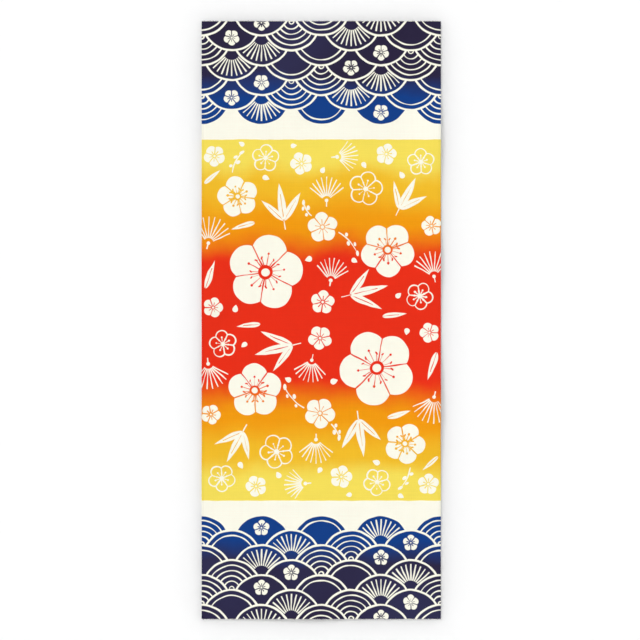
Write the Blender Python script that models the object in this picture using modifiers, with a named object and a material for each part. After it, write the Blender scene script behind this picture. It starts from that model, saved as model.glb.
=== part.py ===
"""A tenugui, the narrow cotton hand towel, spread out face up on a level surface.

It is one length of thin plain-woven cotton with its two selvedges as the long sides and a plain
cut at each end, so it is one solid. The cloth lies flat on most of its area and at its four
corners. Between the corners its edges stand a little off the surface in low, soft swells, as
light cotton does.

Units are metres. X runs across the cloth, Y along it and Z up, and the origin is on the surface,
under the middle of the cloth.
"""

import math
from collections import namedtuple

import bpy

# Driving sizes
WIDTH = 0.360  # selvedge to selvedge
LENGTH = 0.900  # cut end to cut end
THICKNESS = 0.001  # the cloth with the loft of its threads
CELL = 0.020  # side of one square of the mesh

# A swell that would lift the cloth less than this is pressed flat by its own weight
PRESSED_FLAT = 0.0003

# Colour of the dyed cotton (the broad orange of its middle), and how matt it is
DYED_COTTON = (0.91, 0.36, 0.02, 1.0)
COTTON_ROUGHNESS = 0.92

# Each row is one soft swell. Its crest is at x and y, given as shares of the half width and the
# half length, so that 1 or -1 is on the cloth's outline. Lift is the height of the crest, and
# across and along are how far it spreads in X and Y.
Swell = namedtuple("Swell", "x y lift across along")
SWELLS = (
    # The two cut ends
    Swell(x=0.10, y=1.00, lift=0.0012, across=0.070, along=0.040),
    Swell(x=-0.15, y=-1.00, lift=0.0018, across=0.075, along=0.045),
    # The left selvedge
    Swell(x=-1.00, y=0.52, lift=0.0011, across=0.036, along=0.060),
    Swell(x=-1.00, y=0.08, lift=0.0015, across=0.042, along=0.075),
    Swell(x=-1.00, y=-0.46, lift=0.0012, across=0.038, along=0.065),
    # The right selvedge
    Swell(x=1.00, y=0.60, lift=0.0017, across=0.044, along=0.060),
    Swell(x=1.00, y=0.20, lift=0.0014, across=0.038, along=0.055),
    Swell(x=1.00, y=-0.28, lift=0.0019, across=0.046, along=0.080),
)


def clear_scene():
    """Removes the objects of the file that the script is run in."""
    for obj in list(bpy.data.objects):
        bpy.data.objects.remove(obj, do_unlink=True)


def lift_at(x, y):
    """How far the underside of the cloth stands off the surface at a point."""
    total = 0.0
    for swell in SWELLS:
        from_crest_x = (x - swell.x * WIDTH / 2) / swell.across
        from_crest_y = (y - swell.y * LENGTH / 2) / swell.along
        total += swell.lift * math.exp(-(from_crest_x**2) - from_crest_y**2)
    return max(0.0, total - PRESSED_FLAT)


def dyed_cotton():
    """The matt finish of dyed cotton."""
    material = bpy.data.materials.new("dyed_cotton")
    material.use_nodes = True
    shader = material.node_tree.nodes["Principled BSDF"]
    shader.inputs["Base Color"].default_value = DYED_COTTON
    shader.inputs["Roughness"].default_value = COTTON_ROUGHNESS
    shader.inputs["Metallic"].default_value = 0.0
    return material


def laid_cloth():
    """The underside as an open sheet that follows the swells, given its thickness upwards."""
    bpy.ops.mesh.primitive_grid_add(
        x_subdivisions=round(WIDTH / CELL),
        y_subdivisions=round(LENGTH / CELL),
        size=1.0,
    )
    cloth = bpy.context.object
    cloth.name = "cloth"
    cloth.data.name = "cloth"
    for vertex in cloth.data.vertices:
        vertex.co.x *= WIDTH
        vertex.co.y *= LENGTH
        vertex.co.z = lift_at(vertex.co.x, vertex.co.y)
    thicken = cloth.modifiers.new("thickness", "SOLIDIFY")
    thicken.thickness = THICKNESS
    thicken.offset = 1.0
    cloth.data.shade_smooth()
    cloth.data.materials.append(dyed_cotton())
    return cloth


def main():
    clear_scene()
    towel = bpy.data.collections.new("tenugui_towel")
    bpy.context.scene.collection.children.link(towel)
    cloth = laid_cloth()
    for collection in list(cloth.users_collection):
        collection.objects.unlink(cloth)
    towel.objects.link(cloth)


main()
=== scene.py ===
# %% [markdown]
# # A tenugui spread out on a table
#
# A tenugui is a cotton hand towel: one length of thin plain weave, dyed right through, with a
# selvedge down each long side and a plain cut at each end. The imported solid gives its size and
# the soft swells in which it lies. This lesson lays a fine sheet over that solid, ties off its
# edges thread by thread, and then dyes it with a pattern worked out in shader maths.

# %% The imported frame
import math
from collections import namedtuple

import bpy
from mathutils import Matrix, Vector


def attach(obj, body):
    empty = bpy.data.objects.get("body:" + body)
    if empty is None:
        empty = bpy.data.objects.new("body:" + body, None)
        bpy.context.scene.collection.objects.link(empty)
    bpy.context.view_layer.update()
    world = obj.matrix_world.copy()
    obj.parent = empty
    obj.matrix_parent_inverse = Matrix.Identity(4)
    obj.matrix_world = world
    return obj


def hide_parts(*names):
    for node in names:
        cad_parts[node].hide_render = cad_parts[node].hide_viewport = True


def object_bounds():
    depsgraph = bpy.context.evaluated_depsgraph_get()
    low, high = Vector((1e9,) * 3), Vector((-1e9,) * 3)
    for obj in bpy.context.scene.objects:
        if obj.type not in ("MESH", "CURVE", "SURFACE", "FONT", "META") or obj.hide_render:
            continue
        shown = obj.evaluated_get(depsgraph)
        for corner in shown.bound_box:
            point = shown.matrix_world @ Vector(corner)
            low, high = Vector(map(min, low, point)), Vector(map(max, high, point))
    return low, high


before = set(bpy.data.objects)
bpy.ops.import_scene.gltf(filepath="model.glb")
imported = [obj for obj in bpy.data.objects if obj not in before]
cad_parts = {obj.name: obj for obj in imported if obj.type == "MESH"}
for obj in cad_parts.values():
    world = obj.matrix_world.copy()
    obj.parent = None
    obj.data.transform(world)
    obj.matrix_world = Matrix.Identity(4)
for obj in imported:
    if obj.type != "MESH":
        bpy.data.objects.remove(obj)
solid_low, solid_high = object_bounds()
WIDTH = solid_high.x - solid_low.x
LENGTH = solid_high.y - solid_low.y
SCENE = bpy.context.scene
print(f"the solid is {WIDTH:.3f} m by {LENGTH:.3f} m")

# %% [markdown]
# ## Nodes written as arithmetic
#
# Both the sheet and its dyes are built from nodes. Adding hundreds of them by hand would be
# slow to read, so a small class wraps an output socket: a sum or a product in Python then adds
# the Math node that does it. Everything else goes through one method, `add`, which takes the
# node's type, its settings and what goes into its sockets.


# %% A socket that Python can calculate with
class Socket:
    """An output in a node tree. Arithmetic on it adds Math nodes."""

    def __init__(self, tree, output):
        self.tree = tree
        self.output = output

    def math(self, operation, *others):
        return self.tree.add("ShaderNodeMath", {"operation": operation}, (self, *others))

    def beside(self, name):
        """Another output of the same node."""
        return Socket(self.tree, self.output.node.outputs[name])

    def times_plus(self, factor, addend):
        return self.math("MULTIPLY_ADD", factor, addend)

    def held(self):
        """The number, kept from 0 to 1."""
        return self.tree.add("ShaderNodeClamp", {}, (self,))

    def __add__(self, other):
        return self.math("ADD", other)

    def __radd__(self, other):
        return self.math("ADD", other)

    def __sub__(self, other):
        return self.math("SUBTRACT", other)

    def __rsub__(self, other):
        return self.times_plus(-1.0, other)

    def __mul__(self, other):
        return self.math("MULTIPLY", other)

    def __rmul__(self, other):
        return self.math("MULTIPLY", other)

    def __truediv__(self, other):
        return self.math("DIVIDE", other)

    def __neg__(self):
        return self.math("MULTIPLY", -1.0)

    def __abs__(self):
        return self.math("ABSOLUTE")


class Tree:
    """A node tree with one way to add a node to it."""

    COLUMN = 24  # nodes in a column of the editor
    ASIDE = 200  # from one column to the next
    DOWN = 180  # from one node to the one below it

    def __init__(self, nodes):
        self.nodes = nodes

    def add(self, kind, settings=None, inputs=(), output=0):
        node = self.nodes.nodes.new(kind)
        place = len(self.nodes.nodes)
        node.location = (self.ASIDE * (place // self.COLUMN), -self.DOWN * (place % self.COLUMN))
        for name, value in (settings or {}).items():
            if name == "stops":
                self.fill_ramp(node.color_ramp, value)
            else:
                setattr(node, name, value)
        pairs = inputs.items() if isinstance(inputs, dict) else enumerate(inputs)
        for key, value in pairs:
            if isinstance(value, Socket):
                self.nodes.links.new(value.output, node.inputs[key])
            else:
                node.inputs[key].default_value = value
        return Socket(self, node.outputs[output])

    @staticmethod
    def fill_ramp(ramp, stops):
        ramp.interpolation = "EASE"
        while len(ramp.elements) < len(stops):
            ramp.elements.new(1.0)
        for element, (position, colour) in zip(ramp.elements, stops):
            element.position = position
            element.color = colour

    def vector(self, operation, *inputs):
        return self.add("ShaderNodeVectorMath", {"operation": operation}, inputs)

    def mix_colours(self, factor, low, high):
        """Low where factor is 0 and high where it is 1."""
        return self.add("ShaderNodeMix", {"data_type": "RGBA"}, {0: factor, 6: low, 7: high}, 2)

    def mix_vectors(self, factor, low, high):
        return self.add("ShaderNodeMix", {"data_type": "VECTOR"}, {0: factor, 4: low, 5: high}, 1)

    def noise(self, place, scale, detail=1.0, output="Fac"):
        inputs = {"Vector": place, "Scale": scale, "Detail": detail}
        return self.add("ShaderNodeTexNoise", {"noise_dimensions": "2D"}, inputs, output)


# %% A geometry tree that leaves a plain mesh
class Growth(Tree):
    """A Geometry Nodes tree with named inputs. Running it leaves a plain mesh object."""

    def __init__(self, name):
        super().__init__(bpy.data.node_groups.new(name, "GeometryNodeTree"))
        self.name = name
        self.values = {}
        self.ports = self.nodes.nodes.new("NodeGroupInput")
        self.port("Geometry", "OUTPUT", "Geometry")

    def port(self, name, side, kind):
        """A socket on the outside of the tree."""
        return self.nodes.interface.new_socket(name, in_out=side, socket_type=f"NodeSocket{kind}")

    def size(self, name, value, kind="Float"):
        """A named input of the tree, and the value that it is run with."""
        self.values[self.port(name, "INPUT", kind).identifier] = value
        return Socket(self, self.ports.outputs[name])

    def run(self, geometry, material):
        """Ends the tree in real, painted geometry, and returns it as an object."""
        real = self.add("GeometryNodeRealizeInstances", {}, {"Geometry": geometry})
        painted = self.add("GeometryNodeSetMaterial", {}, {"Geometry": real, "Material": material})
        end = self.nodes.nodes.new("NodeGroupOutput")
        self.nodes.links.new(painted.output, end.inputs["Geometry"])
        piece = bpy.data.objects.new(self.name, bpy.data.meshes.new(self.name))
        SCENE.collection.objects.link(piece)
        modifier = piece.modifiers.new(self.name, "NODES")
        modifier.node_group = self.nodes
        for identifier, value in self.values.items():
            modifier[identifier] = value
        graph = bpy.context.evaluated_depsgraph_get()
        mesh = bpy.data.meshes.new_from_object(piece.evaluated_get(graph))
        piece.modifiers.clear()
        piece.data = mesh
        print(f"{self.name}: {len(mesh.vertices)} points, {len(mesh.polygons)} faces")
        return piece


# %% [markdown]
# ## Camera, floor and light
#
# The photograph looks straight down on the cloth, from so far off that its edges stay parallel.
# A long lens high above gives the same picture and still lets the other views move round it.
# The light is a bright even sky with a low, wide sun, which is as even as the sky, so the dyes
# keep their own colours from end to end and the raised edges still cast a soft shadow. A cloth
# this thin casts only a narrow one. The floor is therefore a white sheet that light gets into,
# as on a light table: none gets in under the cloth, so the sheet darkens softly all round it.

# %% The photograph's frame
PHOTO_SIDE = 640.0  # pixels, both ways
PHOTO_LEFT = 201.7  # the cloth's edges in the photograph, in pixels
PHOTO_RIGHT = 440.8
PHOTO_TOP = 21.4
PHOTO_BOTTOM = 618.8
LENS = 120.0
SENSOR = 36.0

metres_a_pixel = LENGTH / (PHOTO_BOTTOM - PHOTO_TOP)
seen_width = PHOTO_SIDE * metres_a_pixel
camera_x = (PHOTO_SIDE / 2 - (PHOTO_LEFT + PHOTO_RIGHT) / 2) * metres_a_pixel
camera_y = ((PHOTO_TOP + PHOTO_BOTTOM) / 2 - PHOTO_SIDE / 2) * metres_a_pixel
camera_z = seen_width * LENS / SENSOR

lens = bpy.data.cameras.new("camera")
lens.lens = LENS
lens.sensor_width = SENSOR
lens.clip_end = 100.0
camera = bpy.data.objects.new("camera", lens)
camera.location = (camera_x, camera_y, camera_z)
SCENE.collection.objects.link(camera)
SCENE.camera = camera
print(f"the picture is {seen_width:.3f} m across, seen from {camera_z:.2f} m")

# %% A pale floor and soft light
FLOOR_SIDE = 14.0
FLOOR_GAP = 0.0002  # from the cloth down to the floor, so that the two never coincide
FLOOR_FINISH = {
    "Base Color": (0.95, 0.95, 0.95, 1.0),
    "Roughness": 0.9,
    "Specular IOR Level": 0.1,
    "Subsurface Weight": 0.65,  # share of the light that gets into the floor
    "Subsurface Radius": (1.0, 1.0, 1.0),
    "Subsurface Scale": 0.10,  # sets how far it spreads there
}
SKY_STRENGTH = 0.69
SUN_FROM = Vector((-0.74, 0.62, 0.28))
SUN_SPREAD = math.radians(16)
SUN_STRENGTH = 4.3


def set_evenly(shader, finish):
    """Sets what is the same all over a surface, on the shader's own sockets."""
    for name, value in finish.items():
        shader.inputs[name].default_value = value


def make_floor():
    """A plane under the cloth, of a white material that light gets into."""
    bpy.ops.mesh.primitive_plane_add(size=FLOOR_SIDE, location=(0, 0, solid_low.z - FLOOR_GAP))
    floor = bpy.context.object
    floor.name = "floor"
    matt = bpy.data.materials.new("pale_floor")
    matt.use_nodes = True
    shader = matt.node_tree.nodes["Principled BSDF"]
    shader.subsurface_method = "BURLEY"
    set_evenly(shader, FLOOR_FINISH)
    floor.data.materials.append(matt)


def make_light():
    """An even white sky, and a soft sun past the cloth's upper left corner."""
    world = bpy.data.worlds.new("sky")
    SCENE.world = world
    world.use_nodes = True
    background = world.node_tree.nodes["Background"]
    background.inputs["Color"].default_value = (1.0, 1.0, 1.0, 1.0)
    background.inputs["Strength"].default_value = SKY_STRENGTH
    sun = bpy.data.lights.new("sun", "SUN")
    sun.angle = SUN_SPREAD
    sun.energy = SUN_STRENGTH
    holder = bpy.data.objects.new("sun", sun)
    holder.rotation_mode = "QUATERNION"
    holder.rotation_quaternion = (-SUN_FROM).to_track_quat("-Z", "Y")
    SCENE.collection.objects.link(holder)


make_floor()
make_light()
SCENE.view_settings.view_transform = "Standard"

# %% [markdown]
# ## The dyes
#
# The ground is undyed cream cotton. Paste laid through a cut stencil keeps the dye off, so every
# line and flower is the cream of the cloth, and the dyes are poured so that one runs softly into
# the next. The finish then asks two questions at each point: which dye was poured here, and did
# paste cover it? Shader maths suits this better than a picture, because its edges stay sharp
# from any distance. A shape in it is one number: how many millimetres a point lies outside the
# shape, with less than zero inside. The lower of two such numbers is both shapes together, the
# higher is where they overlap, and only the finished drawing is turned into paste and no paste.

# %% The cloth's own coordinates, in millimetres
FLAT_PLACE = "flat_place"  # the attribute that each thread keeps from the loom
MM = 1000.0
HALF_LENGTH = LENGTH / 2 * MM
SOFT_EDGE = 0.7  # how far the dye creeps under the paste
KNIFE_WANDER = 1.6  # how far the stencil knife strays
KNIFE_SCALE = 45.0  # how often it does, in a metre
PASTE_SPREAD = 1.3  # how unevenly the paste spreads past the stencil
FAR = 4.0  # a distance that is well outside a shape, and well inside it below zero


class Finish(Tree):
    """A Principled material, with its tree ready for patterns."""

    def __init__(self, name):
        self.material = bpy.data.materials.new(name)
        self.material.use_nodes = True
        super().__init__(self.material.node_tree)
        self.shader = self.nodes.nodes["Principled BSDF"]

    def drive(self, socket, value):
        self.nodes.links.new(value.output, self.shader.inputs[socket])


cotton = Finish("dyed_cotton")
loom_place = cotton.add("ShaderNodeAttribute", {"attribute_name": FLAT_PLACE}, output="Vector")
straying = cotton.noise(loom_place, KNIFE_SCALE, output="Color")
loom_mm = cotton.vector(
    "MULTIPLY_ADD", loom_place, (MM, MM, 0), (-KNIFE_WANDER / 2, -KNIFE_WANDER / 2, 0)
)
cut_mm = cotton.vector("MULTIPLY_ADD", straying, (KNIFE_WANDER, KNIFE_WANDER, 0), loom_mm)
cut_x = cotton.add("ShaderNodeSeparateXYZ", {}, (cut_mm,))
cut_y = cut_x.beside("Y")
paste_noise = cotton.add("ShaderNodeSeparateXYZ", {}, (straying,), "Z")
thinner = paste_noise.times_plus(PASTE_SPREAD, -PASTE_SPREAD / 2)

# The pattern reads the same from either end, so one half of it is drawn and turned about the
# middle of the cloth for the other.
half_turn = cut_y.math("SIGN")
turned_x = cut_x * half_turn
turned_y = abs(cut_y)
from_end = HALF_LENGTH - turned_y


# %% Tools for drawing with distances
def either(first, second):
    return first.math("MINIMUM", second)


def both(first, second):
    return first.math("MAXIMUM", second)


def without(first, second):
    return first.math("MAXIMUM", -second)


def line(distance, width):
    """A line of a width, along where a distance is zero."""
    return abs(distance) - width / 2


def covered(distance):
    """1 inside a shape and 0 outside it, with the soft edge of dye that crept under the paste."""
    return distance.times_plus(-1 / SOFT_EDGE, 0.5).held()


class Spot:
    """Millimetre coordinates round one motif, u along it and v across it."""

    def __init__(self, u, v):
        self.u = u
        self.v = v

    def at(self, x, y, turn=0.0):
        """The same coordinates, started at a point and turned by an angle in degrees."""
        c = math.cos(math.radians(turn))
        s = math.sin(math.radians(turn))
        u = self.u.times_plus(c, self.v.times_plus(s, -x * c - y * s))
        v = self.v.times_plus(c, self.u.times_plus(-s, x * s - y * c))
        return Spot(u, v)

    def radius(self):
        return self.u.times_plus(self.u, self.v * self.v).math("SQRT")

    def angle(self):
        return self.v.math("ARCTAN2", self.u)

    def stroke(self, length, width):
        """A straight stroke along u, from the spot."""
        return both(line(self.v, width), line(self.u - length / 2, length))


half_cloth = Spot(turned_x, turned_y)


# %% [markdown]
# ## Plum blossom, bamboo and pine
#
# Plum, bamboo and pine are the three friends of winter, as common on Japanese cloth as stripes.
# A plum blossom is five round petals, so its angle is folded into one petal and that petal is a
# circle. Some are cut as solid flowers and some as outlines, which keeps a crowded stencil
# light. A bamboo leaf is a long drop, wide near its stalk. Pine needles spread like a fan from
# the end of a shoot. Twigs in bud and fallen petals fill the gaps.

# %% The petals of a plum blossom
PETALS = 5
HALF_PETAL = math.pi / PETALS
PETAL_CENTRE = 0.54  # shares of the blossom's radius
PETAL_RADIUS = 0.46
DISC = 0.11
DISC_RING = 0.19


class Blossom:
    """The distances that every drawing of a plum blossom starts from."""

    def __init__(self, spot, size):
        self.size = size
        self.radius = spot.radius()
        self.angle = spot.angle()
        off_middle = self.angle.math("PINGPONG", HALF_PETAL)
        centre = PETAL_CENTRE * size
        along = self.radius * off_middle.math("COSINE")
        squared = along.times_plus(-2 * centre, self.radius.times_plus(self.radius, centre**2))
        self.petals = squared.math("SQRT") - PETAL_RADIUS * size
        self.to_seam = self.radius * (HALF_PETAL - off_middle).math("SINE")
        self.to_middle = self.radius * off_middle.math("SINE")
        self.disc = self.radius - DISC * size
        self.past_ring = DISC_RING * size - self.radius

    def solid(self, seam):
        """Five full petals parted by seams, and a ring of dye round the disc."""
        petals = both(without(self.petals, line(self.to_seam, seam)), self.past_ring)
        return either(petals, self.disc)

    def stamens(self, count, width, reach, spread, anther):
        """Fine strokes from the disc, each with a dot at its tip."""
        aside = self.radius * self.angle.math("PINGPONG", math.pi / count).math("SINE")
        tips = (self.angle * PETALS).math("COSINE")
        from_tip = self.radius - tips.times_plus(spread * self.size, reach * self.size)
        stroke = both(both(line(aside, width), from_tip), self.past_ring)
        dot = from_tip.times_plus(from_tip, aside * aside).math("SQRT")
        return either(stroke, dot - anther)


# %% Three ways to cut a blossom
RIM = 2.4  # dye that parts a large blossom from what lies behind it
PETAL_LINE = 1.7
STROKE = 1.2
STROKE_REACH = 0.52  # share of the blossom's radius


def large_plum(spot, size):
    """A solid blossom with its stamens, and the rim round it."""
    blossom = Blossom(spot, size)
    stamens = blossom.stamens(count=15, width=0.9, reach=0.43, spread=0.07, anther=1.8)
    return without(blossom.solid(seam=1.9), stamens), blossom.petals - RIM


def small_plum(spot, size):
    """A solid blossom with one short stroke in each petal."""
    blossom = Blossom(spot, size)
    stroke = both(line(blossom.to_middle, STROKE), blossom.radius - STROKE_REACH * size)
    return without(blossom.solid(seam=1.5), both(stroke, blossom.past_ring))


def outlined_plum(spot, size):
    """A blossom in outline, with dyed petals."""
    blossom = Blossom(spot, size)
    outline = line(blossom.petals + PETAL_LINE / 2, PETAL_LINE)
    seams = both(line(blossom.to_seam, PETAL_LINE), blossom.petals)
    petals = either(outline, both(seams, blossom.past_ring))
    stamens = blossom.stamens(count=10, width=1.0, reach=0.42, spread=0.06, anther=1.3)
    return either(petals, either(stamens, blossom.disc))


# %% Drops: bamboo leaves and fallen petals
BLUNT = 0.55  # a drop's width goes as share ** BLUNT * (1 - share) along its length
WIDEST_AT = BLUNT / (1 + BLUNT)
WIDEST = WIDEST_AT**BLUNT * (1 - WIDEST_AT)
PETAL_WIDTH = 0.74  # shares of the length
LEAF_WIDTH = 0.22
RIB_REACH = 0.72
RIB = 0.9
STALK = 0.24
SIDE_LEAVES = ((40.0, 0.82), (-38.0, 0.88))  # each one's turn in degrees, and its length
TWIG = 1.6


def drop(spot, length, width):
    """A shape round at the spot and pointed along u, widest a third of the way."""
    share = spot.u / length
    swell = share.math("POWER", BLUNT) * (1.0 - share)
    return both(abs(spot.v) - swell * (width / 2 / WIDEST), -spot.u)


def loose_petal(spot, length):
    """One fallen petal, a plump drop."""
    return drop(spot, length, PETAL_WIDTH * length)


def bamboo_leaf(spot, length):
    """A slender drop with the stroke of its midrib."""
    rib = both(line(spot.v, RIB), spot.u - RIB_REACH * length)
    return without(drop(spot, length, LEAF_WIDTH * length), rib)


def bamboo_spray(spot, length):
    """Three leaves from one joint, and the stalk that they hang from."""
    spray = bamboo_leaf(spot, length)
    for turn, share in SIDE_LEAVES:
        spray = either(spray, bamboo_leaf(spot.at(0, 0, turn), share * length))
    return either(spray, spot.at(-STALK * length, 0).stroke(STALK * length, TWIG))


# %% A fan of pine needles
NEEDLE = 1.5
NEEDLE_STEP = math.radians(13)
FAN_OPENS_TO = math.radians(59)
FAN_CURVE = 0.3  # how much the needles shorten towards the fan's sides, as a share
BARE = 0.2  # share of the length that has no needles
KNOB = 2.6  # radius of the bud that they spread from
SHOOT = 9.0  # length of the bare shoot behind it


def pine_fan(spot, length):
    """The needles at the end of a shoot, spread like a fan."""
    radius = spot.radius()
    angle = spot.angle()
    needles = line(radius * angle.math("PINGPONG", NEEDLE_STEP / 2).math("SINE"), NEEDLE)
    shortest = (1 - FAN_CURVE) * length
    past_tips = angle.math("COSINE").times_plus(-FAN_CURVE * length, radius - shortest)
    needles = both(both(needles, past_tips), BARE * length - radius)
    needles = both(needles, radius * (abs(angle) - FAN_OPENS_TO))
    return either(needles, either(radius - KNOB, spot.at(-SHOOT, 0).stroke(SHOOT, TWIG)))


# %% A twig in bud
Bud = namedtuple("Bud", "share side radius")
BUDS = (
    Bud(share=0.30, side=1, radius=2.3),
    Bud(share=0.52, side=-1, radius=2.9),
    Bud(share=0.76, side=1, radius=2.4),
    Bud(share=1.00, side=0, radius=3.1),
)
BUD_OFF_TWIG = 4.0
TWIG_BEND = 0.35  # how far the tip is bent aside, as a share of the length


def budding_twig(spot, length):
    """A curved twig with round buds by turns."""
    curve = Spot(spot.u, spot.u.times_plus(spot.u * (TWIG_BEND / length), spot.v))
    twig = curve.stroke(length, TWIG)
    for bud in BUDS:
        place = curve.at(bud.share * length, bud.side * BUD_OFF_TWIG)
        twig = either(twig, place.radius() - bud.radius)
    return twig


# %% Where each motif lies
# Millimetres from the middle of the cloth, in the half that is drawn, and degrees.
Motif = namedtuple("Motif", "x y size turn")
LARGE_PLUMS = (
    Motif(x=-84, y=72, size=57, turn=8),
    Motif(x=100, y=106, size=41, turn=-16),
    Motif(x=-126, y=186, size=31, turn=30),
)
SMALL_PLUMS = (
    Motif(x=2, y=27, size=18, turn=12),
    Motif(x=-163, y=19, size=15, turn=0),
    Motif(x=2, y=140, size=23, turn=24),
    Motif(x=-30, y=236, size=17, turn=40),
    Motif(x=98, y=250, size=16, turn=5),
    Motif(x=-161, y=247, size=16, turn=50),
    Motif(x=166, y=142, size=15, turn=30),
)
OUTLINED_PLUMS = (
    Motif(x=148, y=36, size=21, turn=-8),
    Motif(x=67, y=198, size=26, turn=5),
    Motif(x=150, y=238, size=21, turn=20),
    Motif(x=-84, y=244, size=21, turn=14),
)
BAMBOO = (
    Motif(x=44, y=38, size=58, turn=14),
    Motif(x=-56, y=150, size=56, turn=98),
    Motif(x=118, y=168, size=52, turn=62),
)
PINE_FANS = (
    Motif(x=8, y=180, size=36, turn=90),
    Motif(x=-170, y=116, size=40, turn=76),
    Motif(x=170, y=66, size=38, turn=100),
    Motif(x=24, y=246, size=32, turn=4),
    Motif(x=14, y=60, size=34, turn=80),
)
LEAVES = (
    Motif(x=-174, y=48, size=44, turn=72),
    Motif(x=-100, y=147, size=36, turn=196),
    Motif(x=-176, y=206, size=30, turn=40),
    Motif(x=92, y=6, size=36, turn=6),
)
TWIGS = (
    Motif(x=26, y=132, size=40, turn=-28),
    Motif(x=-15, y=157, size=22, turn=140),
    Motif(x=-134, y=222, size=32, turn=84),
)
PETALS_LOOSE = (
    Motif(x=112, y=34, size=10.5, turn=40),
    Motif(x=-14, y=94, size=11.5, turn=200),
    Motif(x=46, y=92, size=10.0, turn=-30),
    Motif(x=-130, y=12, size=11.0, turn=80),
    Motif(x=-46, y=262, size=9.5, turn=10),
    Motif(x=62, y=238, size=10.5, turn=-60),
    Motif(x=124, y=214, size=11.0, turn=120),
    Motif(x=0, y=222, size=9.5, turn=60),
    Motif(x=-88, y=216, size=11.0, turn=-20),
    Motif(x=-116, y=263, size=9.5, turn=150),
)


def middle_paste():
    """All that the paste covers in the warm middle of the cloth."""
    drawn_by = (
        (SMALL_PLUMS, small_plum),
        (OUTLINED_PLUMS, outlined_plum),
        (BAMBOO, bamboo_spray),
        (PINE_FANS, pine_fan),
        (LEAVES, bamboo_leaf),
        (TWIGS, budding_twig),
        (PETALS_LOOSE, loose_petal),
    )
    paste = None
    for motifs, draw in drawn_by:
        for motif in motifs:
            shape = draw(half_cloth.at(motif.x, motif.y, motif.turn), motif.size)
            paste = shape if paste is None else either(paste, shape)
    for motif in LARGE_PLUMS:
        shape, rim = large_plum(half_cloth.at(motif.x, motif.y, motif.turn), motif.size)
        paste = either(without(paste, rim), shape)
    return paste


# %% [markdown]
# ## The scales at both ends
#
# Seigaiha, blue sea waves, is a thousand-year-old repeat of overlapping round scales. Each row
# stands half a scale aside of the one behind it, and hides its lower part. At any point only
# three rows can show, so the tree asks each of them in turn, the one in front last. Rings, ribs,
# a single line and a blossom fill the scales by turns.

# %% Rows of scales
SCALE = 45.0  # radius of one scale
RISE = 22.5  # from one row to the next
LAST_ROW = 5
OUTLINE = 3.0
LINE = 1.9
RING_PITCH = 8.0
RIB_STEP = math.radians(12)
RIBS_OPEN_TO = math.radians(52)
RIB_START = 13.0
SCALE_PLUM_AT = 24.5  # from the middle of the scale
SCALE_PLUM = 12.0
FILLINGS = 4


def nearest_scale():
    """Where a point lies in the scale that shows there, which one it is, and if any shows."""
    row_here = (from_end / RISE).math("FLOOR")
    shown = None
    cover = None
    for step in (1, 0, -1):
        row = row_here + float(step)
        up = row.times_plus(-RISE, from_end)
        aside = row.math("FLOORED_MODULO", 2.0).times_plus(SCALE, turned_x + SCALE)
        across = aside.math("WRAP", SCALE, -SCALE)
        inside = across.times_plus(across, up * up).math("LESS_THAN", SCALE**2)
        inside = inside * row.math("LESS_THAN", LAST_ROW + 0.5)
        count = (aside - across).times_plus(1 / (2 * SCALE), row)
        here = cotton.add("ShaderNodeCombineXYZ", {}, (across, up, count))
        shown = here if shown is None else cotton.mix_vectors(inside, shown, here)
        cover = inside if cover is None else cover.math("MAXIMUM", inside)
    return cotton.add("ShaderNodeSeparateXYZ", {}, (shown,)), cover.times_plus(-2 * FAR, FAR)


def scale_paste():
    """The lines and flowers of the scales, and where the scales are."""
    across, cover = nearest_scale()
    scale = Spot(across.beside("Y"), across)
    radius = scale.radius()
    angle = scale.angle()
    outline = SCALE - OUTLINE - radius
    first_ring = radius - (SCALE - OUTLINE / 2 - RING_PITCH)
    rings = line(first_ring.math("PINGPONG", RING_PITCH / 2), LINE)
    ribs = line(radius * angle.math("PINGPONG", RIB_STEP / 2).math("SINE"), LINE)
    ribs = both(both(ribs, first_ring - LINE), RIB_START - radius)
    ribs = both(ribs, radius * (abs(angle) - RIBS_OPEN_TO))
    blossom = small_plum(scale.at(SCALE_PLUM_AT, 0), SCALE_PLUM)
    # Each scale has one filling, by its count. The half keeps a count that is a hair below a
    # whole number from being taken for the one before.
    filling = (across.beside("Z") + 0.5).math("FLOORED_MODULO", FILLINGS)
    lines = outline
    for number, drawing in enumerate((rings, ribs, line(first_ring, LINE), blossom)):
        not_this_one = abs(filling - (number + 0.5)).times_plus(2 * FAR, -FAR)
        lines = either(lines, both(drawing, not_this_one))
    return lines, cover


# %% [markdown]
# ## Pouring the dyes
#
# The ends run from near-black navy into a clear blue. The middle runs from yellow through orange
# into red. Each boundary wanders a little, as poured dye does, so the distances that drive the
# ramps are stirred with slow noise before they are used.


# %% The dye colours
def dye(red, green, blue):
    """A colour as a screen gives it, from 0 to 255, in the linear light that shaders use."""
    linear = []
    for part in (red, green, blue):
        share = part / 255
        linear.append(share / 12.92 if share <= 0.04045 else ((share + 0.055) / 1.055) ** 2.4)
    return (*linear, 1.0)


CREAM = dye(254, 252, 236)
NAVY = dye(40, 33, 61)
INK_BLUE = dye(46, 45, 80)
BLUE = dye(12, 61, 135)
YELLOW = dye(247, 224, 90)
DEEP_YELLOW = dye(244, 190, 40)
ORANGE = dye(243, 155, 6)
RED = dye(234, 45, 18)
MIDDLE = 272.0  # half the length of the warm middle
NAVY_TO = 80.0  # from the cut end
BLUE_FROM = 116.0
POURED = 46.0  # how far the boundaries between dyes wander
POUR_SCALE = 9.0  # how often they do, in a metre
INK_SCALE = 5.0  # patches of a bluer navy, in a metre

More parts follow.
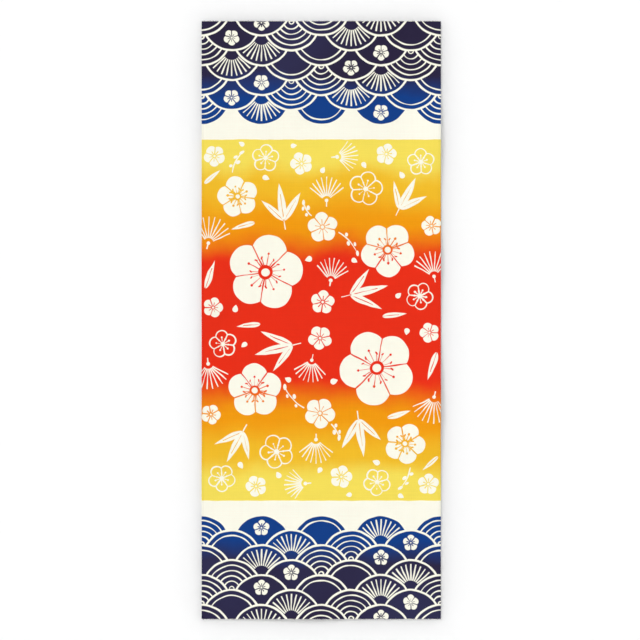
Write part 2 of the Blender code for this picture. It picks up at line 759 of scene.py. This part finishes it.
slow = cotton.noise(loom_place, POUR_SCALE, detail=5.0)
stirred_middle = slow.times_plus(POURED, turned_y - POURED / 2)
stirred_end = slow.times_plus(POURED, from_end - POURED / 2)
warm = cotton.add(
    "ShaderNodeValToRGB",
    {
        "stops": (
            (0.32, RED),
            (0.52, ORANGE),
            (0.75, DEEP_YELLOW),
            (0.89, YELLOW),
        )
    },
    (stirred_middle / MIDDLE,),
)
bluer = cotton.noise(loom_place, INK_SCALE).times_plus(3.0, -1.0).held()
navy = cotton.mix_colours(bluer, NAVY, INK_BLUE)
nearer_middle = ((stirred_end - NAVY_TO) / (BLUE_FROM - NAVY_TO)).held()
cold = cotton.mix_colours(nearer_middle, navy, BLUE)

# %% Dye where the paste lets it through
middle_dye = covered(without(turned_y - MIDDLE, middle_paste() + thinner))
dyed = cotton.mix_colours(middle_dye, CREAM, warm)
scale_lines, scales = scale_paste()
dyed = cotton.mix_colours(covered(without(scales, scale_lines + thinner)), dyed, cold)

# %% [markdown]
# ## The weave
#
# Two threads to a millimetre cross over and under each other. The product of two sines changes
# sign from one crossing to the next, which says which thread is on top. Cotton is spun unevenly,
# so thicker stretches show as faint streaks along both threads, and these are what the eye sees
# from a step away. The warp is set closer along each selvedge, which makes a firmer, slightly
# darker band there.

# %% Streaks of uneven yarn
THREAD = 0.48  # from one thread to the next
THICKNESS_ACROSS = 0.9  # how fast the yarn's thickness changes from thread to thread
THICKNESS_ALONG = 0.012  # and how fast it does along a thread
WARP_SHADE = 0.05  # how much the streaks shade the cloth, along the warp and along the weft
WEFT_SHADE = 0.07
CLOUD_SCALE = 22.0
CLOUD_SHADE = 0.05
SELVEDGE_BAND = 3.6

straight_mm = cotton.vector("MULTIPLY", loom_place, (MM, MM, 0))
thread_x = cotton.add("ShaderNodeSeparateXYZ", {}, (straight_mm,))
thread_y = thread_x.beside("Y")
along_warp = cotton.vector("MULTIPLY", straight_mm, (THICKNESS_ACROSS, THICKNESS_ALONG, 0))
along_weft = cotton.vector("MULTIPLY", straight_mm, (THICKNESS_ALONG, THICKNESS_ACROSS, 0))
warp_streak = cotton.noise(along_warp, 1.0, detail=2.0)
weft_streak = cotton.noise(along_weft, 1.0, detail=2.0)
cloudy = cotton.noise(loom_place, CLOUD_SCALE, detail=3.0)
in_band = covered(WIDTH / 2 * MM - SELVEDGE_BAND - abs(thread_x))
# Each noise is a half on average, so half of all the shades is taken off again
middle_shade = (WARP_SHADE + WEFT_SHADE + CLOUD_SHADE) / 2
shade = weft_streak.times_plus(WEFT_SHADE, -middle_shade)
shade = cloudy.times_plus(CLOUD_SHADE, warp_streak.times_plus(WARP_SHADE, shade))

# %% Threads over and under
RELIEF = 0.00016  # metres from the crown of a thread to the gap
CRIMP = 0.5  # how much of that a thread rises and falls by
SLUBS = 0.8  # how much of it the uneven yarn adds
# The gaps between the threads are darker, partly deeper dye and partly painted shade, and crowns
# above the full colour height are painted lighter
GAP_DYE_AND_SHADE = 0.12  # how much darker the gaps between the threads are
FULL_COLOUR = 0.75  # height at which a thread has the dye's own colour
BAND_SHADE = 0.05

warp_wave = (thread_x * (math.pi / THREAD)).math("SINE")
weft_wave = (thread_y * (math.pi / THREAD)).math("SINE")
over = warp_wave * weft_wave
warp_crown = over.times_plus(CRIMP, abs(warp_wave))
weft_crown = over.times_plus(-CRIMP, abs(weft_wave))
crown = warp_crown.math("MAXIMUM", weft_crown)
uneven = (warp_streak + weft_streak).times_plus(SLUBS, crown)
# Painted shade and light in the base colour: darker in the gaps between the threads, lighter on
# their crowns
shade = shade + crown.times_plus(GAP_DYE_AND_SHADE, 1.0 - FULL_COLOUR * GAP_DYE_AND_SHADE)
shade = in_band.times_plus(-BAND_SHADE, shade)
coloured = cotton.add("ShaderNodeVectorMath", {"operation": "SCALE"}, {0: dyed, "Scale": shade})
bump = cotton.add("ShaderNodeBump", {}, {"Strength": 0.9, "Distance": RELIEF, "Height": uneven})

# %% The finish of the cotton
ROUGHNESS = 0.85
ROUGHER = 0.1  # how much rougher the thick stretches of weft are
EVEN_FINISH = {"Specular IOR Level": 0.1, "Sheen Weight": 0.03, "Sheen Roughness": 0.5}

cotton.drive("Base Color", coloured)
cotton.drive("Roughness", weft_streak.times_plus(ROUGHER, ROUGHNESS))
cotton.drive("Normal", bump)
set_evenly(cotton.shader, EVEN_FINISH)
print(f"the dyed cotton has {len(cotton.nodes.nodes)} nodes")

# %% [markdown]
# ## The cloth
#
# A plane with a thickness would do for the size, but cotton this light never lies dead flat. The
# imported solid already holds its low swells, so a fine grid is dropped on them: rays cast up from
# below find the solid's underside, and blurring the heights takes its facets away. The cloth is
# thinner than the solid, so its swells may stand a little higher and still keep inside it. Each
# point keeps its place on the loom as an attribute, which is where the dyes are worked out.

# %% Laying the sheet on the solid
CELL = 0.003  # side of the grid's faces
CLOTH_THICKNESS = 0.00042
SMOOTHING = 40  # rounds of blurring
LOFT = 1.3  # height of the swells, against those of the solid's underside
PUCKER = 0.00022  # height of the small unevenness of pressed cotton
PUCKER_SCALE = 26.0
SIDE_WANDER = 0.0009  # how far the selvedges wander
SIDE_SCALE = 7.0
RAY_START = -0.05  # below the solid
RAY_LENGTH = 0.1
RAY_INSET = 0.997  # how far out the rays start, so that those at the rim still meet the solid


def laid_cloth():
    """A fine grid on the solid's swells, an open sheet so far."""
    growth = Growth("cloth_sheet")
    solid = growth.size("Packed solid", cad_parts["cloth"], "Object")
    width = growth.size("Width", WIDTH)
    length = growth.size("Length", LENGTH)
    columns = growth.size("Columns", round(WIDTH / CELL) + 1, "Int")
    rows = growth.size("Rows", round(LENGTH / CELL) + 1, "Int")
    loft = growth.size("Loft", LOFT)
    pucker = growth.size("Pucker", PUCKER)
    wander = growth.size("Side wander", SIDE_WANDER)
    grid = growth.add(
        "GeometryNodeMeshGrid",
        {},
        {"Size X": width, "Size Y": length, "Vertices X": columns, "Vertices Y": rows},
    )
    place = growth.add("GeometryNodeInputPosition")
    kept = growth.add(
        "GeometryNodeStoreNamedAttribute",
        {"data_type": "FLOAT_VECTOR", "domain": "POINT"},
        {"Geometry": grid, "Name": FLAT_PLACE, "Value": place},
    )
    inset = (RAY_INSET, RAY_INSET, 0)
    start = growth.vector("MULTIPLY_ADD", place, inset, (0, 0, RAY_START))
    target = growth.add("GeometryNodeObjectInfo", {}, {"Object": solid}, "Geometry")
    ray = {
        "Target Geometry": target,
        "Source Position": start,
        "Ray Direction": (0, 0, 1),
        "Ray Length": RAY_LENGTH,
    }
    met = growth.add("GeometryNodeRaycast", {}, ray, "Hit Position")
    height = growth.add("ShaderNodeSeparateXYZ", {}, (met,), "Z")
    swell = growth.add("GeometryNodeBlurAttribute", {}, {"Value": height, "Iterations": SMOOTHING})
    fine = growth.noise(place, PUCKER_SCALE, detail=2.0)
    lift = fine.times_plus(pucker, swell * loft)
    # Nothing moves sideways in the middle of the cloth, and the selvedges move most
    across = growth.add("ShaderNodeSeparateXYZ", {}, (place,)) * (2 / WIDTH)
    along_side = growth.vector("MULTIPLY", place, (0, 1, 0))
    sideways = (growth.noise(along_side, SIDE_SCALE, detail=2.0) - 0.5) * wander * across
    offset = growth.add("ShaderNodeCombineXYZ", {}, (sideways, 0.0, lift))
    moved = growth.add("GeometryNodeSetPosition", {}, {"Geometry": kept, "Offset": offset})
    smooth = growth.add("GeometryNodeSetShadeSmooth", {}, {"Geometry": moved})
    # The rim stays crisp, or its shading would round the cloth off like a pillow
    on_rim = growth.add("GeometryNodeInputMeshEdgeNeighbors").math("LESS_THAN", 1.5)
    crisp = growth.add(
        "GeometryNodeSetShadeSmooth",
        {"domain": "EDGE"},
        {"Geometry": smooth, "Selection": on_rim, "Shade Smooth": False},
    )
    return growth.run(crisp, cotton.material)


cloth = laid_cloth()

# %% [markdown]
# ## The edges, thread by thread
#
# On the long sides the weft turns back round the last warp thread, which makes the selvedge. On
# the short sides the cloth is only cut, and the warp threads stand proud of the last weft, most
# by a hair and a few by a millimetre or more. Both are one small yarn, repeated along an edge and
# tied to the sheet there.

# %% Points along an edge of the sheet
YARN = 0.00011  # radius
SIDES = 4  # faces round it, few because it is repeated thousands of times


def edge_points(growth, start, step, count):
    """Points along an edge, drawn on to the sheet, with the loom place that the sheet has there."""
    vectors = {"data_type": "FLOAT_VECTOR"}
    row = {"Count": count, "Start Location": start, "Offset": step}
    points = growth.add("GeometryNodeMeshLine", {}, row)
    sheet = growth.size("Sheet", cloth, "Object")
    surface = growth.add("GeometryNodeObjectInfo", {}, {"Object": sheet}, "Geometry")
    place = growth.add("GeometryNodeInputPosition")

    def on_sheet(value):
        """What the sheet has at its point that is nearest to each of these."""
        inputs = {"Mesh": surface, "Value": value, "Sample Position": place}
        return growth.add("GeometryNodeSampleNearestSurface", vectors, inputs)

    loom = on_sheet(growth.add("GeometryNodeInputNamedAttribute", vectors, {"Name": FLAT_PLACE}))
    kept = growth.add(
        "GeometryNodeStoreNamedAttribute",
        {"data_type": "FLOAT_VECTOR", "domain": "POINT"},
        {"Geometry": points, "Name": FLAT_PLACE, "Value": loom},
    )
    half_up = (0, 0, CLOTH_THICKNESS / 2)
    inputs = {"Geometry": kept, "Position": on_sheet(place), "Offset": half_up}
    return growth.add("GeometryNodeSetPosition", {}, inputs)


def yarn_along(growth, curve):
    """A yarn with closed ends."""
    ring = growth.add("GeometryNodeCurvePrimitiveCircle", {}, {"Resolution": SIDES, "Radius": YARN})
    inputs = {"Curve": curve, "Profile Curve": ring, "Fill Caps": True}
    return growth.add("GeometryNodeCurveToMesh", {}, inputs)


def repeated(growth, inputs):
    """One yarn at every point, shaded smooth, as a finished object."""
    yarns = growth.add("GeometryNodeInstanceOnPoints", {}, inputs)
    smooth = growth.add("GeometryNodeSetShadeSmooth", {}, {"Geometry": yarns})
    return growth.run(smooth, cotton.material)


# %% The turns of the selvedges
TURN_PITCH = 0.00096  # two picks of weft
TURN_REACH = 0.00026


def selvedge(name, side):
    """The turns of the weft along one long side."""
    growth = Growth(name)
    pitch = growth.size("Pitch", TURN_PITCH)
    count = growth.size("Turns", round(LENGTH / TURN_PITCH) - 1, "Int")
    step = growth.add("ShaderNodeCombineXYZ", {}, (0.0, pitch, 0.0))
    first = (side * WIDTH / 2, -LENGTH / 2 + TURN_PITCH, 0)
    points = edge_points(growth, first, step, count)
    half_round = {
        "Resolution": 6,
        "Radius": TURN_REACH,
        "Start Angle": -math.pi / 2,
        "Sweep Angle": math.pi,
    }
    turn = yarn_along(growth, growth.add("GeometryNodeCurveArc", {}, half_round))
    facing = (0, 0, 0) if side > 0 else (0, 0, math.pi)
    return repeated(growth, {"Points": points, "Instance": turn, "Rotation": facing})


selvedges = [selvedge("selvedge_left", -1), selvedge("selvedge_right", 1)]

# %% The cut ends of the warp
WARP_PITCH = THREAD / MM
SHORTEST = 0.0002  # how far a thread stands past the last weft
LONGEST = 0.0016
LEAN = 0.55  # how far it leans aside at most, in radians


def cut_end(name, side, seed):
    """The ends of the warp threads along one short side."""
    growth = Growth(name)
    pitch = growth.size("Pitch", WARP_PITCH)
    count = growth.size("Threads", round(WIDTH / WARP_PITCH) - 2, "Int")
    shortest = growth.size("Shortest", SHORTEST)
    longest = growth.size("Longest", LONGEST)
    furthest = growth.size("Furthest lean", LEAN)
    seeds = growth.size("Seed", seed, "Int")
    step = growth.add("ShaderNodeCombineXYZ", {}, (pitch, 0.0, 0.0))
    first = (-WIDTH / 2 + 1.5 * WARP_PITCH, side * LENGTH / 2, 0)
    points = edge_points(growth, first, step, count)
    # One thread, a unit long past the edge, with its root inside the cloth
    bent = {
        "Resolution": 3,
        "Start": (0, -0.4, 0),
        "Middle": (0, 0.5, 0),
        "End": (0.0003, 1, 0.0001),
    }
    thread = yarn_along(growth, growth.add("GeometryNodeCurveQuadraticBezier", {}, bent))

    def chance(low, high, own_seed):
        inputs = {2: low, 3: high, "Seed": own_seed}
        return growth.add("FunctionNodeRandomValue", {}, inputs, 1)

    # A few threads stand out and most hardly show, so the random share is cubed
    share = chance(0.0, 1.0, seeds)
    reach = share.math("POWER", 3.0).times_plus(longest - shortest, shortest)
    roll = chance(0.0, 2 * math.pi, seeds + 1.0)
    sway = chance(-1.0, 1.0, seeds + 2.0)
    facing = 0.0 if side > 0 else math.pi
    turned = growth.add("ShaderNodeCombineXYZ", {}, (0.0, roll, sway.times_plus(furthest, facing)))
    size = growth.add("ShaderNodeCombineXYZ", {}, (1.0, reach, 1.0))
    inputs = {"Points": points, "Instance": thread, "Rotation": turned, "Scale": size}
    return repeated(growth, inputs)


cut_ends = [cut_end("cut_end_top", 1, 3), cut_end("cut_end_bottom", -1, 8)]

# %% [markdown]
# ## Handing over
#
# The sheet gets its thickness last, because the edges were tied to its open surface. Everything
# rides on the one body and stands for the imported solid.

# %% Thickness, and the body that each piece rides on
thicken = cloth.modifiers.new("thickness", "SOLIDIFY")
thicken.thickness = CLOTH_THICKNESS
thicken.offset = 1.0
edges = selvedges + cut_ends
for piece in [cloth, *edges]:
    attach(piece, "root")
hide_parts("cloth")
